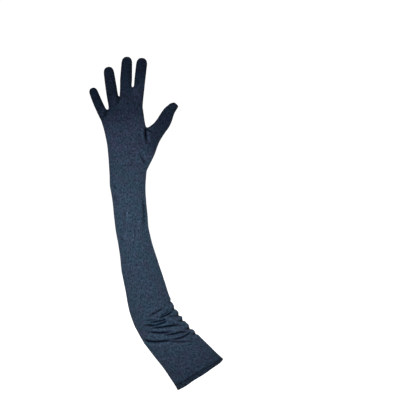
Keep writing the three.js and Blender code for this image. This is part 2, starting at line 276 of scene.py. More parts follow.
# Creases: depth and width of the groove, the shares of its length over which it deepens and fades,
# and the line that it takes over one side of the glove, as x and z. On the back it is drawn as the
# camera sees it.
Crease = namedtuple("Crease", "depth width rise fall line")
BACK_CREASES = (
    Crease(1.5, 1.9, 0.35, 0.3, ((-49, 116.6), (-32.1, 118), (-26.8, 118.9), (-18.5, 120.4))),
    Crease(1.5, 1.6, 0.25, 0.25, ((-30.5, 110.9), (-22.4, 111.3), (-16.3, 112.6), (-10.4, 114.6))),
    Crease(2.2, 1.8, 0.25, 0.2, ((-35, 107.2), (-22.2, 108), (-13.9, 109.3), (-6, 110.8))),
    Crease(1.2, 1.7, 0.3, 0.45, ((-19, 105.2), (-13.8, 103.9), (-8.9, 103.7), (-3, 102))),
    Crease(1.2, 1.9, 0.35, 0.3, ((-58, 113.6), (-45.8, 109.5), (-34, 106.8))),
    Crease(2.8, 2.1, 0.45, 0.15, (
        (-54, 107.6), (-40.7, 104.1), (-35.2, 103.5), (-27, 102.4), (-20.1, 104.1),
    )),
    Crease(2.8, 2.1, 0.3, 0.15, (
        (-61, 105.8), (-42.4, 99.3), (-34.2, 98.6), (-27.1, 98.5), (-19.1, 101.3),
    )),
    Crease(2.9, 2.1, 0.3, 0.3, ((-57, 98.6), (-38.7, 94), (-28.1, 91.8), (-17.5, 89.7), (2, 84.6))),
    Crease(2.7, 2.2, 0.35, 0.4, ((-63, 96.6), (-52.4, 91.4), (-39, 85.4), (-27.4, 81.9), (-9, 78.3))),
    Crease(2.2, 2, 0.3, 0.3, ((-38, 79.9), (-19, 76), (-7.4, 74.6), (8, 70.4))),
    Crease(1.9, 1.9, 0.35, 0.2, ((-30, 69), (-10.4, 66.5), (-1, 67), (10.6, 69.6))),
    Crease(2.5, 2.4, 0.12, 0.45, ((-67, 85.3), (-60.4, 79), (-48.2, 73.5), (-35.3, 70), (-13, 64.4))),
    Crease(1.3, 2, 0.35, 0.4, ((-34, 67.4), (-16.8, 62.4), (8, 53.6))),
    Crease(0.9, 1.7, 0.4, 0.4, ((-24, 95.4), (-8, 92))),
    Crease(0.7, 1.7, 0.4, 0.4, ((-56, 84.2), (-44, 78.6))),
    Crease(2.6, 2.3, 0.04, 0.5, ((52.2, 401), (48.9, 393.4), (47.3, 387.2), (46.4, 380.6), (45.2, 373))),
    Crease(1.7, 1.9, 0.15, 0.35, ((53.4, 399.4), (56, 394.6), (58.6, 391))),
    Crease(0.9, 2.6, 0.1, 0.5, ((28, 460), (24.4, 456.4), (20.3, 449))),
    Crease(0.9, 3, 0.1, 0.5, ((4.4, 448), (-1.5, 443.4), (-5.6, 437))),
    Crease(0.4, 1.8, 0.1, 0.6, ((54.8, 470.5), (52.6, 466.2), (50.2, 460.6))),
    Crease(0.85, 2.5, 0.3, 0.3, ((30.4, 371.2), (29.9, 362.9), (30.2, 355.3), (32, 342.3))),
    Crease(0.6, 2.6, 0.3, 0.5, ((-28.6, 333.9), (-27.3, 328.3), (-24.4, 323))),
    Crease(0.7, 2.6, 0.3, 0.5, ((-32.6, 318.4), (-32.3, 310.9), (-32.4, 303.8))),
    Crease(1.1, 2.8, 0.3, 0.5, (
        (10, 306.3), (7.7, 293.5), (5.5, 283.2), (1.6, 271), (-3.1, 259.1), (-10.6, 243.1),
    )),
    Crease(0.45, 2, 0.3, 0.4, ((-23.7, 300.6), (-25.6, 286), (-30.8, 270.9), (-42.1, 251.1))),
    Crease(0.45, 2, 0.3, 0.4, ((-15.8, 265.4), (-21, 250.3), (-26.5, 238.7), (-35.9, 225.1))),
    Crease(0.45, 2, 0.3, 0.4, ((-39.6, 267.3), (-43, 251.5), (-46.7, 229))),
)
PALM_CREASES = (
    Crease(1.5, 2.2, 0.1, 0.6, ((-4, 126), (-14, 123.5), (-26, 124))),
    Crease(2, 2.2, 0.1, 0.6, ((-3, 113), (-20, 111.5), (-44, 114.5))),
    Crease(2.4, 2.4, 0.1, 0.5, ((-1, 102), (-20, 102), (-46, 108))),
    Crease(2.1, 2.3, 0.1, 0.6, ((2, 92.3), (-22, 94), (-52, 102))),
    Crease(1.5, 2.2, 0.2, 0.5, ((-2, 85.5), (-20, 86.5), (-38, 91.5))),
    Crease(2.8, 2.5, 0.1, 0.5, ((7.5, 76), (-14, 77), (-56, 93))),
    Crease(1.5, 2.1, 0.2, 0.5, ((4, 69.5), (-12, 70.5), (-33, 76))),
    Crease(2.2, 2.6, 0.35, 0.12, ((12, 64.8), (-14, 64.5), (-44, 72.5), (-66, 84.6))),
    Crease(1, 2.2, 0.1, 0.6, ((52.4, 400), (49, 392), (46, 380))),
    Crease(0.5, 3, 0.3, 0.5, ((-30, 300), (-16, 294), (4, 284))),
)

# Notches that the elbow's folds leave in the outline on the thumb side, crossing the seam
NOTCHES = (
    Crease(1.5, 2.1, 0.02, 0.7, ((-1.7, 126.2), (-6.7, 127.6), (-12.7, 128))),
    Crease(1.8, 2.1, 0.02, 0.7, ((0.3, 113), (-4.7, 114.4), (-10.7, 114.8))),
    Crease(2.4, 2.2, 0.02, 0.7, ((3.3, 101), (-2.7, 102.6), (-8.7, 103.2))),
    Crease(2.5, 2.2, 0.02, 0.7, ((6.3, 91.2), (0.3, 93), (-7.7, 93.4))),
    Crease(2.7, 2.3, 0.02, 0.7, ((13.3, 75), (6.3, 77.4), (-1.7, 78.2))),
    Crease(1.8, 2, 0.02, 0.7, ((19.3, 63.6), (12.3, 65.8), (4.3, 66.6))),
)

# Fine folds that stand up from the cloth on the back of the forearm. depth is their height.
FINE_FOLDS = (
    Crease(0.6, 1.2, 0.2, 0.25, ((-17.4, 293), (-25.7, 276.1), (-30.6, 266.4))),
    Crease(0.6, 1.2, 0.25, 0.25, ((-33.5, 258), (-36.6, 252.2), (-43, 245))),
    Crease(0.6, 1.2, 0.25, 0.25, ((-23.5, 251), (-28.6, 239.4), (-36, 229))),
    Crease(0.3, 1.1, 0.3, 0.3, ((-10.5, 294.5), (-4.5, 297), (0.5, 298.8))),
)

# Form of a crease, with distances across it in its own widths: its sharpness, the cloth that puffs up
# beside it by a share of its depth, and the painted shade in it, which is full from DARK_DEPTH on.
# Cloth that stands out gets a painted highlight: this much is added to its stretch for each millimetre.
CREASE_LINE_STEPS = 5
CREASE_SHARP = 1.35
PUFF_HEIGHT = 0.32
PUFF_PLACE = 2.1
PUFF_WIDTH = 1
DARK_DEPTH = 1.8
DARK_WIDTH = 0.75
DARK_SHARP = 3
PUFF_HIGHLIGHT = 0.5
FOLD_HIGHLIGHT = 0.85

# Creases fade out towards the seam. The mesh is made finer where they are found, and over the elbow.
SEAM_FADE = 3.5
CREASE_FOUND = 0.08
ELBOW_ZONE = (56, 132)

# Slow unevenness of soft cloth
UNEVEN_SIZE = 21
UNEVEN_HEIGHT = 0.35

# Slight wave of the free mouth: its height, how far up the sleeve it reaches, its waves as share,
# count and start, and how far and how often it bulges to front and back
MOUTH_WAVE = 0.45
MOUTH_WAVE_REACH = 55
MOUTH_WAVES = ((1, 3, 0.6), (0.6, 7, 2))
MOUTH_BULGE = 1.5
MOUTH_BULGES = 5


# Curves and cross lines

def smooth(low, high, value):
    """A share that goes gently from 0 to 1 as a value goes from low to high."""
    share = np.clip((value - low) / (high - low), 0, 1)
    return share * share * (3 - 2 * share)


def bell(value):
    """1 at zero, and gently less to both sides."""
    return np.exp(-(value**2))


def slope(rise_before, span_before, rise_after, span_after):
    """The slope of a smooth curve where two spans meet, with no overshoot past a turning point."""
    first, second = rise_before / span_before, rise_after / span_after
    meets = first * second > 0
    total = np.where(meets, first + second, 1)
    return np.where(meets, 2 * first * second / total, 0)


def blend_rows(table, place):
    """The cross line at a place between rows: 2.5 is half way from the third row to the fourth."""
    rows = np.array(table, float)
    last = len(rows) - 1
    index = min(int(place), last - 1)
    t = place - index
    before, start = rows[max(index - 1, 0)], rows[index]
    end, after = rows[index + 1], rows[min(index + 2, last)]
    span = end[1] - start[1]
    slope_in = slope(start - before, start[1] - before[1] or span, end - start, span)
    slope_out = slope(end - start, span, after - end, after[1] - end[1] or span)
    return Line(*(
        start * (2 * t**3 - 3 * t**2 + 1) + slope_in * span * (t**3 - 2 * t**2 + t)
        + end * (3 * t**2 - 2 * t**3) + slope_out * span * (t**3 - t**2)
    ))


def centre_of(line):
    return np.array([line.outer_x + line.inner_x, line.outer_z + line.inner_z]) / 2


def across_of(line):
    """Unit direction of a cross line towards the thumb side, and half its length."""
    run = np.array([line.inner_x - line.outer_x, line.inner_z - line.outer_z])
    return run / np.linalg.norm(run), np.linalg.norm(run) / 2


def along_of(line):
    """Unit direction up the arm, square to a cross line."""
    (x, z), _ = across_of(line)
    return np.array([-z, x])


def direction(tilt):
    """Unit direction up the glove, tilted towards the thumb side by an angle."""
    return np.array([math.sin(math.radians(tilt)), math.cos(math.radians(tilt))])


def ring_points(line, sides, inset=0.0):
    """The points of the ring round a cross line, drawn in by an inset."""
    centre, (across, half) = centre_of(line), across_of(line)
    angle = (np.arange(sides) + 0.5) / sides * 2 * math.pi
    c, s = np.cos(angle), np.sin(angle)
    depth = np.where(s < 0, line.back, line.palm) - inset
    out = (half - inset) * np.sign(c) * np.abs(c) ** (2 / line.square)
    y = depth * np.sign(s) * np.abs(s) ** (2 / line.square)
    return np.column_stack([centre[0] + across[0] * out, y, centre[1] + across[1] * out])


def moved(line, distance):
    """A cross line moved along the arm."""
    x, z = along_of(line) * distance
    return line._replace(
        outer_x=line.outer_x + x, inner_x=line.inner_x + x,
        outer_z=line.outer_z + z, inner_z=line.inner_z + z,
    )


def line_above(rise):
    """The sleeve's cross line at a small height above the mouth."""
    first_rise = centre_of(SLEEVE[1])[1] - centre_of(SLEEVE[0])[1]
    return blend_rows(SLEEVE, rise / first_rise)


def sleeve_lines():
    """Closely spaced cross lines from below the mouth to the knuckles."""
    lines = [moved(SLEEVE[0], -2 * HEM_DEPTH), SLEEVE[0]]
    for index, (row, after) in enumerate(zip(SLEEVE, SLEEVE[1:])):
        rise = np.linalg.norm(centre_of(after) - centre_of(row))
        steps = math.ceil(rise / RING_STEP)
        lines += [blend_rows(SLEEVE, index + step / steps) for step in range(1, steps + 1)]
    return lines


def thumb_lines():
    last = (len(THUMB) - 1) * THUMB_STEPS
    return [blend_rows(THUMB, place / THUMB_STEPS) for place in range(last + 1)]


def finger_axis(finger, share):
    """The point on a finger's curved centre line, and the direction, at a share of its length."""
    places = (finger.root, finger.middle, finger.tip)
    root, middle, tip = (np.array(place, float) for place in places)
    control = 2 * middle - (root + tip) / 2
    point = (1 - share) ** 2 * root + 2 * share * (1 - share) * control + share**2 * tip
    along = 2 * (1 - share) * (control - root) + 2 * share * (tip - control)
    return point, along / np.linalg.norm(along)


def finger_points(finger):
    return np.array([finger_axis(finger, share)[0] for share in np.linspace(0, 1, FINGER_POINTS)])


def finger_half(finger, share):
    """Half the width of a finger at a share of its length."""
    return np.interp(share, FINGER_PLACES, (finger.base, finger.belly, finger.end)) / 2


def length_of(points):
    return np.linalg.norm(np.diff(points, axis=0), axis=1).sum()


def covered_along(points):
    """The distance covered along a line, at each of its points."""
    return np.concatenate([[0], np.cumsum(np.linalg.norm(np.diff(points, axis=0), axis=1))])


def finger_lines(finger):
    """The cross lines of a finger, with a blunt round tip."""
    length = length_of(finger_points(finger))
    tip_length = TIP_LENGTH * finger.end
    straight = length - tip_length
    steps = math.ceil(straight / RING_STEP)
    stations = [(straight * step / steps, 1.0) for step in range(steps)]
    for ring in range(TIP_RINGS):
        angle = math.pi / 2 * (ring / TIP_RINGS) ** TIP_EASE
        rise, scale = math.sin(angle) ** TIP_BLUNT, math.cos(angle) ** TIP_BLUNT
        stations.append((straight + tip_length * rise, scale))
    lines = []
    for distance, scale in stations:
        share = min(distance / length, 1)
        (x, z), (along_x, along_z) = finger_axis(finger, share)
        half = finger_half(finger, share)
        deep = finger.deep * 2 * half * scale
        out_x, out_z = np.array([along_z, -along_x]) * half * scale
        ends = (x - out_x, z - out_z, x + out_x, z + out_z)
        lines.append(Line(*ends, deep, deep, FINGER_SQUARE))
    return lines


# Meshes

def place_ring(verts, points):
    for vert, point in zip(verts, points):
        vert.co = Vector(point) * MM


def ring_edges(bm, verts):
    return [bm.edges.get(pair) for pair in zip(verts, verts[1:] + verts[:1])]


def extruded(bm, edges, verts):
    """Extrudes edges, and returns the new vertices in the order of the old ones."""
    made = bmesh.ops.extrude_edge_only(bm, edges=edges)["geom"]
    fresh = {item for item in made if isinstance(item, bmesh.types.BMVert)}
    return [next(e.other_vert(v) for e in v.link_edges if e.other_vert(v) in fresh) for v in verts]


def loft(bm, rings, closed=False):
    """Lofts a surface through rings: capped at both ends, or closed on itself like a tyre. Returns
    the vertices of each ring."""
    first = bmesh.ops.create_circle(bm, segments=len(rings[0]), radius=MM)["verts"]
    place_ring(first, rings[0])
    last = first
    made = [first]
    for points in rings[1:]:
        last = extruded(bm, ring_edges(bm, last), last)
        place_ring(last, points)
        made.append(last)
    if closed:
        bmesh.ops.bridge_loops(bm, edges=ring_edges(bm, first) + ring_edges(bm, last))
    else:
        bmesh.ops.edgeloop_fill(bm, edges=ring_edges(bm, first))
        bmesh.ops.edgeloop_fill(bm, edges=ring_edges(bm, last))
    return made


def new_object(name, bm):
    """Makes an object of a bmesh, with its place in its mesh, and frees the bmesh."""
    mesh = bpy.data.meshes.new(name)
    bm.to_mesh(mesh)
    bm.free()
    piece = bpy.data.objects.new(name, mesh)
    bpy.context.scene.collection.objects.link(piece)
    return piece


def joined_hand():
    """The whole hand and arm as one closed surface: sleeve, thumb and fingers grown together."""
    bm = bmesh.new()
    loft(bm, [ring_points(line, SLEEVE_SIDES) for line in sleeve_lines()])
    loft(bm, [ring_points(line, DIGIT_SIDES) for line in thumb_lines()])
    for finger in FINGERS:
        loft(bm, [ring_points(line, DIGIT_SIDES) for line in finger_lines(finger)])
    bmesh.ops.recalc_face_normals(bm, faces=bm.faces)
    rough = new_object("rough_hand", bm)
    grow = rough.modifiers.new("grow_together", "REMESH")
    grow.mode = "VOXEL"
    grow.voxel_size = GRAIN * MM
    shaped = rough.evaluated_get(bpy.context.evaluated_depsgraph_get())
    bm = bmesh.new()
    bm.from_mesh(shaped.to_mesh())
    bpy.data.objects.remove(rough)
    return bm


def relax(bm, verts, rounds):
    """Smooths vertices by rounds, each half way to the mean of their neighbours."""
    for _ in range(rounds):
        bmesh.ops.smooth_vert(
            bm, verts=verts, factor=0.5, use_axis_x=True, use_axis_y=True, use_axis_z=True
        )


def vertex_table(bm):
    return np.array([vert.co[:] for vert in bm.verts]) / MM


# Creases

def curve_through(points):
    """A smooth line through a crease's few points."""
    points = np.array(points, float)
    ends = np.vstack([2 * points[0] - points[1], points, 2 * points[-1] - points[-2]])
    curve = []
    for before, start, end, after in zip(ends, ends[1:], ends[2:], ends[3:]):
        for t in np.arange(CREASE_LINE_STEPS) / CREASE_LINE_STEPS:
            bend = (2 * before - 5 * start + 4 * end - after) * t**2
            turn = (3 * start - before - 3 * end + after) * t**3
            curve.append((2 * start + (end - before) * t + bend + turn) / 2)
    return np.array(curve + [points[-1]])


def distance_to_line(points, line):
    """Distance from points to a line of stretches, and the share of its length at the place nearest
    to each."""
    lengths = np.linalg.norm(np.diff(line, axis=0), axis=1)
    covered = covered_along(line)
    best = np.full(len(points), np.inf)
    share = np.zeros(len(points))
    for start, end, length, before in zip(line, line[1:], lengths, covered):
        run = (end - start) / length
        t = np.clip((points - start) @ run, 0, length)
        distance = np.linalg.norm(points - (start + t[:, None] * run), axis=1)
        nearer = distance < best
        best = np.where(nearer, distance, best)
        share = np.where(nearer, (before + t) / covered[-1], share)
    return best, share


def as_seen(flat):
    """Where the camera sees points in front of the seam plane, as places on that plane."""
    nearness = CAMERA_DISTANCE / (CAMERA_DISTANCE + flat[:, 1])
    return VIEW_CENTRE + (flat[:, [0, 2]] - VIEW_CENTRE) * nearness[:, None]


def crease_fields(flat):
    """At each point, how deep the creases press in, how far the cloth stands out, the painted shade in
    the creases, from 0 to 1, and how much a painted highlight pales the cloth where it stands out."""
    fields = np.zeros((4, len(flat)))
    for side, creases in ((-1, BACK_CREASES), (-1, FINE_FOLDS), (1, PALM_CREASES), (0, NOTCHES)):
        plane = as_seen(flat) if side < 0 else flat[:, [0, 2]]
        for crease in creases:
            line = curve_through(crease.line)
            reach = (PUFF_PLACE + 2 * PUFF_WIDTH) * crease.width
            low, high = line.min(axis=0) - reach, line.max(axis=0) + reach
            near = ((plane > low) & (plane < high)).all(axis=1) & (flat[:, 1] * side >= 0)
            near = np.flatnonzero(near)
            distance, share = distance_to_line(plane[near], line)
            away = distance / crease.width
            strength = smooth(0, crease.rise, share) * (1 - smooth(1 - crease.fall, 1, share))
            if side:
                strength = strength * smooth(0, SEAM_FADE, np.abs(flat[near, 1]))
            if creases is FINE_FOLDS:
                raised = crease.depth * strength * bell(away)
                found = (0, raised, 0, FOLD_HIGHLIGHT * raised)
            else:
                press = crease.depth * strength * np.exp(-(away**CREASE_SHARP))
                beside = bell((away - PUFF_PLACE) / PUFF_WIDTH)
                puff = crease.depth * PUFF_HEIGHT * strength * beside
                inside = np.exp(-((away / DARK_WIDTH) ** DARK_SHARP))
                crease_shade = min(crease.depth / DARK_DEPTH, 1) * strength * inside
                found = (press, puff, crease_shade, PUFF_HIGHLIGHT * puff)
            for field, values in zip(fields, found):
                field[near] = np.maximum(field[near], values)
    return fields


def unevenness(flat):
    """How far the cloth stands out by its slow unevenness."""
    return UNEVEN_HEIGHT * np.array([noise.noise(Vector(point) / UNEVEN_SIZE) for point in flat])


def creased_verts(bm):
    """The vertices over the bent elbow and at the creases of the hand and arm."""
    flat = vertex_table(bm)
    pressed, puffed, _, _ = crease_fields(flat)
    low, high = ELBOW_ZONE
    creased = (pressed + puffed > CREASE_FOUND) | ((flat[:, 2] > low) & (flat[:, 2] < high))
    return [vert for vert, is_creased in zip(bm.verts, creased) if is_creased]


def press_creases(bm):
    """Refines the cloth at its creases and in the bent elbow, and presses the creases into it."""
    marked = set(creased_verts(bm))
    edges = [edge for edge in bm.edges if marked.issuperset(edge.verts)]
    bmesh.ops.subdivide_edges(bm, edges=edges, cuts=1, use_grid_fill=True)
    relax(bm, creased_verts(bm), CREASE_ROUNDS)
    bm.normal_update()
    flat = vertex_table(bm)
    pressed, puffed, _, _ = crease_fields(flat)
    for vert, offset in zip(bm.verts, (puffed - pressed + unevenness(flat)) * MM):
        vert.co += vert.normal * offset


# Pose, and cloth coordinates for the yarn to follow

def by_thumb(plane):
    """How far points are along the thumb from its root, and how far to its side, towards the index
    finger."""
    x, z = direction(THUMB_TILT)
    from_root = plane - np.array(THUMB_ROOT)
    return from_root @ np.array([x, z]), from_root @ np.array([-z, x])


def pose(flat):
    """Bends the flat seam plane to the relaxed hand, and lets the free mouth wave a little."""
    plane = flat[:, [0, 2]]
    along_thumb, beside_thumb = by_thumb(plane)
    thumb = smooth(0, THUMB_REACH, along_thumb) * (1 - smooth(*THUMB_BAND, beside_thumb))
    from_knuckles = (plane - np.array(KNUCKLE_LINE)) @ direction(HAND_TILT)
    reach = np.maximum(from_knuckles, 0) / FINGER_REACH
    posed = flat.copy()
    posed[:, 1] += FINGER_CURL * reach**2 + THUMB_FORWARD * thumb
    from_mouth = plane - centre_of(SLEEVE[0])
    angle = np.arctan2(flat[:, 1], from_mouth @ across_of(SLEEVE[0])[0])
    free = MOUTH_WAVE * (1 - smooth(0, MOUTH_WAVE_REACH, from_mouth @ along_of(SLEEVE[0])))
    wave = sum(share * np.sin(count * angle + start) for share, count, start in MOUTH_WAVES)
    posed[:, [0, 2]] += (free * wave)[:, None] * along_of(SLEEVE[0])
    posed[:, 1] += free * MOUTH_BULGE * np.sin(MOUTH_BULGES * angle)
    return posed


def sleeve_coordinates(flat):
    """Cloth coordinates on the sleeve and hand: round from the panel's middle, and up the arm."""
    lines = sleeve_lines()
    centres = np.array([centre_of(line) for line in lines])
    climbs = np.array([along_of(line) for line in lines])
    covered = covered_along(centres)
    plane = flat[:, [0, 2]]
    ahead = np.array([(plane - c) @ n for c, n in zip(centres, climbs)])
    index = np.clip((ahead > 0).sum(axis=0) - 1, 0, len(lines) - 2)
    every = np.arange(len(flat))
    below, above = ahead[index, every], ahead[index + 1, every]
    t = np.clip(below / np.maximum(below - above, TINY), 0, 1)
    rise = covered[index] + t * (covered[index + 1] - covered[index]) - 2 * HEM_DEPTH
    pairs = [across_of(line) for line in lines]
    acrosses = np.array([pair[0] for pair in pairs])[index]
    halves = np.array([pair[1] for pair in pairs])[index]
    depths = np.array([[line.back, line.palm] for line in lines])[index]
    depth = np.where(flat[:, 1] < 0, depths[:, 0], depths[:, 1])
    centre = centres[index] + t[:, None] * (centres[index + 1] - centres[index])
    out = ((plane - centre) * acrosses).sum(axis=1) / halves
    angle = np.arctan2(np.abs(flat[:, 1]) / depth, out) - math.pi / 2
    return np.column_stack([-angle * np.sqrt(halves * ARM_RADIUS), rise])


def above_webs(plane):
    """Height of points above the line over the webs, along the hand."""
    up = direction(HAND_TILT)
    side = np.array([up[1], -up[0]])
    line = np.array(WEB_LINE)
    return plane @ up - np.interp(plane @ side, line @ side, line @ up)


def digit_coordinates(flat, centres, halves, base_share):
    """Cloth coordinates on a finger or thumb, joined to those of the hand at its base, with the
    distance from its centre line and the share of the way from its base to its tip."""
    plane = flat[:, [0, 2]]
    distance, share = distance_to_line(plane, centres)
    base_index = int(base_share * (len(centres) - 1))
    base_x, base_z = centres[base_index]
    base = sleeve_coordinates(np.array([[base_x, -halves[base_index], base_z]]))[0]
    index = np.clip((share * (len(centres) - 1)).astype(int), 0, len(centres) - 2)
    run = centres[index + 1] - centres[index]
    run /= np.linalg.norm(run, axis=1)[:, None]
    side = np.column_stack([run[:, 1], -run[:, 0]])
    half = np.array(halves)[index]
    out = ((plane - centres[index]) * side).sum(axis=1) / half
    angle = np.arctan2(np.abs(flat[:, 1]) / half, out) - math.pi / 2
    rise = base[1] + (share - base_share) * length_of(centres)
    out_share = np.clip((share - base_share) / (1 - base_share), 0, 1)
    return np.column_stack([base[0] - angle * half, rise]), distance, out_share


def cloth_coordinates(flat):
    """Where each point lies on the flat panel that it was cut from, and how far it is stretched."""
    plane = flat[:, [0, 2]]
    cloth = sleeve_coordinates(flat)
    stretch = np.interp(cloth[:, 1], *zip(*SLEEVE_TONES))
    best = np.full(len(flat), np.inf)
    finger_cloth = np.zeros((len(flat), 2))
    finger_tone = np.zeros(len(flat))
    for finger in FINGERS:
        points = finger_points(finger)
        heights = above_webs(points)
        base_share = np.interp(0, heights, np.linspace(0, 1, len(points)))
        halves = finger_half(finger, np.linspace(0, 1, len(points)))
        found, distance, out_share = digit_coordinates(flat, points, halves, base_share)
        nearer = distance < best
        best = np.where(nearer, distance, best)
        finger_cloth[nearer] = found[nearer]
        near_web = 1 - smooth(0, FINGER_TONE_REACH, out_share)
        tone = finger.tip_tone + (finger.web_tone - finger.tip_tone) * near_web
        finger_tone[nearer] = tone[nearer]
    along_thumb, beside_thumb = by_thumb(plane)
    weight = smooth(*WEB_BLEND, above_webs(plane)) * (beside_thumb > THUMB_BAND[0])
    cloth += (finger_cloth - cloth) * weight[:, None]
    stretch += (finger_tone - stretch) * weight
    lines = thumb_lines()
    centres = np.array([centre_of(line) for line in lines])
    halves = [across_of(line)[1] for line in lines]
    found, _, out_share = digit_coordinates(flat, centres, halves, THUMB_BASE)
    on_thumb = 1 - smooth(*THUMB_BAND, beside_thumb)
    weight = smooth(*THUMB_BLEND, along_thumb) * on_thumb
    cloth += (found - cloth) * weight[:, None]
    base_tone, tip_tone = THUMB_TONES
    tone = base_tone + (tip_tone - base_tone) * smooth(0, THUMB_TONE_REACH, out_share)
    weight = smooth(*THUMB_TONE_BLEND, along_thumb) * on_thumb
    stretch += (tone - stretch) * weight
    return cloth, stretch


def set_values(mesh, name, values):
    layer = mesh.attributes.new(name, "FLOAT", "POINT")
    layer.data.foreach_set("value", np.asarray(values, np.float32))


def set_cloth(mesh, cloth, shift):
    """Stores cloth coordinates in metres. The shift gives each piece its own stretch of yarn, and
    the inset, where a mesh has one, carries the yarn round a fold."""
    inset = np.zeros(len(cloth))
    if "inset" in mesh.attributes:
        mesh.attributes["inset"].data.foreach_get("value", inset)
    vectors = np.column_stack([cloth, inset]) * MM + (0, 0, shift)
    layer = mesh.attributes.new("cloth", "FLOAT_VECTOR", "POINT")
    layer.data.foreach_set("vector", vectors.astype(np.float32).ravel())


def places_of(mesh):
    """The places of a mesh's vertices, in millimetres."""
    places = np.empty(len(mesh.vertices) * 3)
    mesh.vertices.foreach_get("co", places)
    return places.reshape(-1, 3) / MM


def bend(mesh, flat):
    """Bends a mesh of the flat glove to its pose, and shades it smooth."""
    mesh.vertices.foreach_set("co", (pose(flat) * MM).ravel())
    mesh.polygons.foreach_set("use_smooth", np.ones(len(mesh.polygons), bool))
    mesh.update()


def finish_mesh(piece, shift):
    """Gives a piece of the flat glove its cloth coordinates and masks, among them the painted shade of
    creases, seams and hem and the painted highlight of raised cloth, and bends it to its pose.
    """
    mesh = piece.data
    flat = places_of(mesh)
    cloth, stretch = cloth_coordinates(flat)
    set_cloth(mesh, cloth, shift)
    _, _, crease_shade, pale = crease_fields(flat)
    # The stretch, with the painted highlight of cloth that stands out added to it
    set_values(mesh, "stretch", stretch + pale)
    # Painted shade in the creases
    set_values(mesh, "crease", crease_shade)
    set_values(mesh, "hand", smooth(*HAND_CAST_RISE, cloth[:, 1]))
    # Painted shade along the side seam, at the hem's top edge and in the hem's fold
    side_seam_shade = bell(flat[:, 1] / SEAM_LIP)
    hem_seam_shade = bell((cloth[:, 1] - HEM_DEPTH) / HEM_SHADE_REACH)
    hem_fold_shade = HEM_FOLD_SHADE * bell(cloth[:, 1] / HEM_SHADE_REACH)
    set_values(mesh, "seam", np.maximum(side_seam_shade, np.maximum(hem_seam_shade, hem_fold_shade)))
    bend(mesh, flat)


# Panels, hem and threads

def seam_edge(bm):
    """The vertices along a panel's cut at the seam, in order from one side of the mouth to the
    other, and the edges between them."""
    on_seam = {v for v in bm.verts if abs(abs(v.co.y) - SEAM_LIP * MM) < TINY}
    edges = [e for e in bm.edges if e.is_boundary and on_seam.issuperset(e.verts)]
    neighbours = {}
    for edge in edges:
        for vert in edge.verts:
            neighbours.setdefault(vert, []).append(edge.other_vert(vert))
    ends = [vert for vert, others in neighbours.items() if len(others) == 1]
    chain = [min(ends, key=lambda vert: vert.co.x)]
    before = None
    while True:
        onward = [vert for vert in neighbours[chain[-1]] if vert is not before]
        if not onward:
            return chain, edges
        before = chain[-1]
        chain.append(onward[0])


def turn_in(bm, side):
    """Turns the cut edge of a panel in along the seam. Returns the seam's points and the directions
    outwards."""
    bm.normal_update()
    chain, edges = seam_edge(bm)
    places = [vert.co.copy() for vert in chain]
    outwards = [Vector((vert.normal.x, 0, vert.normal.z)).normalized() for vert in chain]
    for depth, gap in SEAM_TURN:
        chain = extruded(bm, edges, chain)
        edges = [bm.edges.get(pair) for pair in zip(chain, chain[1:])]
        for vert, place, outward in zip(chain, places, outwards):
            vert.co = place - outward * depth * MM
            vert.co.y = side * gap * MM
    return places, outwards


def cut(bm, place, across, side):
    """Cuts away what lies behind a plane. Points that all but touch it are moved onto it."""
    geometry = bm.verts[:] + bm.edges[:] + bm.faces[:]
    bmesh.ops.bisect_plane(
        bm, geom=geometry, dist=CUT_SNAP * MM, use_snap_center=True,
        plane_co=place, plane_no=Vector(across) * side, clear_inner=True,
    )


def panel(name, hand, side):
    """One panel of the glove: the half of the hand's surface on its side, with a wall inwards."""
    bm = hand.copy()
    cut(bm, (0, side * SEAM_LIP * MM, 0), (0, 1, 0), side)
    edge = moved(line_above(HEM_DEPTH), PANEL_GAP / 2)
    (x, z), (up_x, up_z) = centre_of(edge) * MM, along_of(edge)
    cut(bm, (x, 0, z), (up_x, 0, up_z), 1)
    seam = turn_in(bm, side)
    piece = new_object(name, bm)
    finish_mesh(piece, side)
    wall = piece.modifiers.new("wall", "SOLIDIFY")
    wall.thickness = WALL * MM
    wall.offset = -1
    wall.use_quality_normals = True
    return piece, seam


def hem_section():
    """Heights above the mouth and depths into the wall, round the hem's rounded, folded section."""
    fold = HEM_THICKNESS / 2
    corners = [(HEM_DEPTH * share, inset) for share, inset in HEM_FACE]
    for step in range(HEM_FOLD_STEPS + 1):
        angle = math.pi * step / HEM_FOLD_STEPS
        corners.append((fold * (1 - math.sin(angle)), fold * (1 - math.cos(angle))))
    corners += [(HEM_DEPTH * HEM_INSIDE, HEM_THICKNESS), (HEM_DEPTH + HEM_LAP, HEM_THICKNESS)]
    corners += [(HEM_DEPTH + HEM_LAP, HEM_LAP_INSET), (HEM_DEPTH, HEM_LAP_INSET)]
    return corners


def hem():
    """The hem: the cloth turned in round the mouth, with a rounded fold at its lower edge. Its inner
    layer laps behind the panels."""
    rings = [
        ring_points(line_above(rise), HEM_SIDES, depth - HEM_PROUD) for rise, depth in hem_section()
    ]
    bm = bmesh.new()
    inset = bm.verts.layers.float.new("inset")
    for verts, (_, depth) in zip(loft(bm, rings, closed=True), hem_section()):
        for vert in verts:
            vert[inset] = depth
    bmesh.ops.recalc_face_normals(bm, faces=bm.faces)
    piece = new_object("hem_band", bm)
    finish_mesh(piece, HEM_SHIFT)
    return piece


def even_places(points, pitch):
    """Evenly spaced places along a line of points, and the way that the line runs there."""
    points = np.array(points, float)
    covered = covered_along(points)
    wanted = np.arange(pitch / 2, covered[-1], pitch)
    places = np.column_stack([np.interp(wanted, covered, column) for column in points.T])
    ahead = np.column_stack([np.interp(wanted + pitch / 4, covered, column) for column in points.T])
    return places, ahead - places


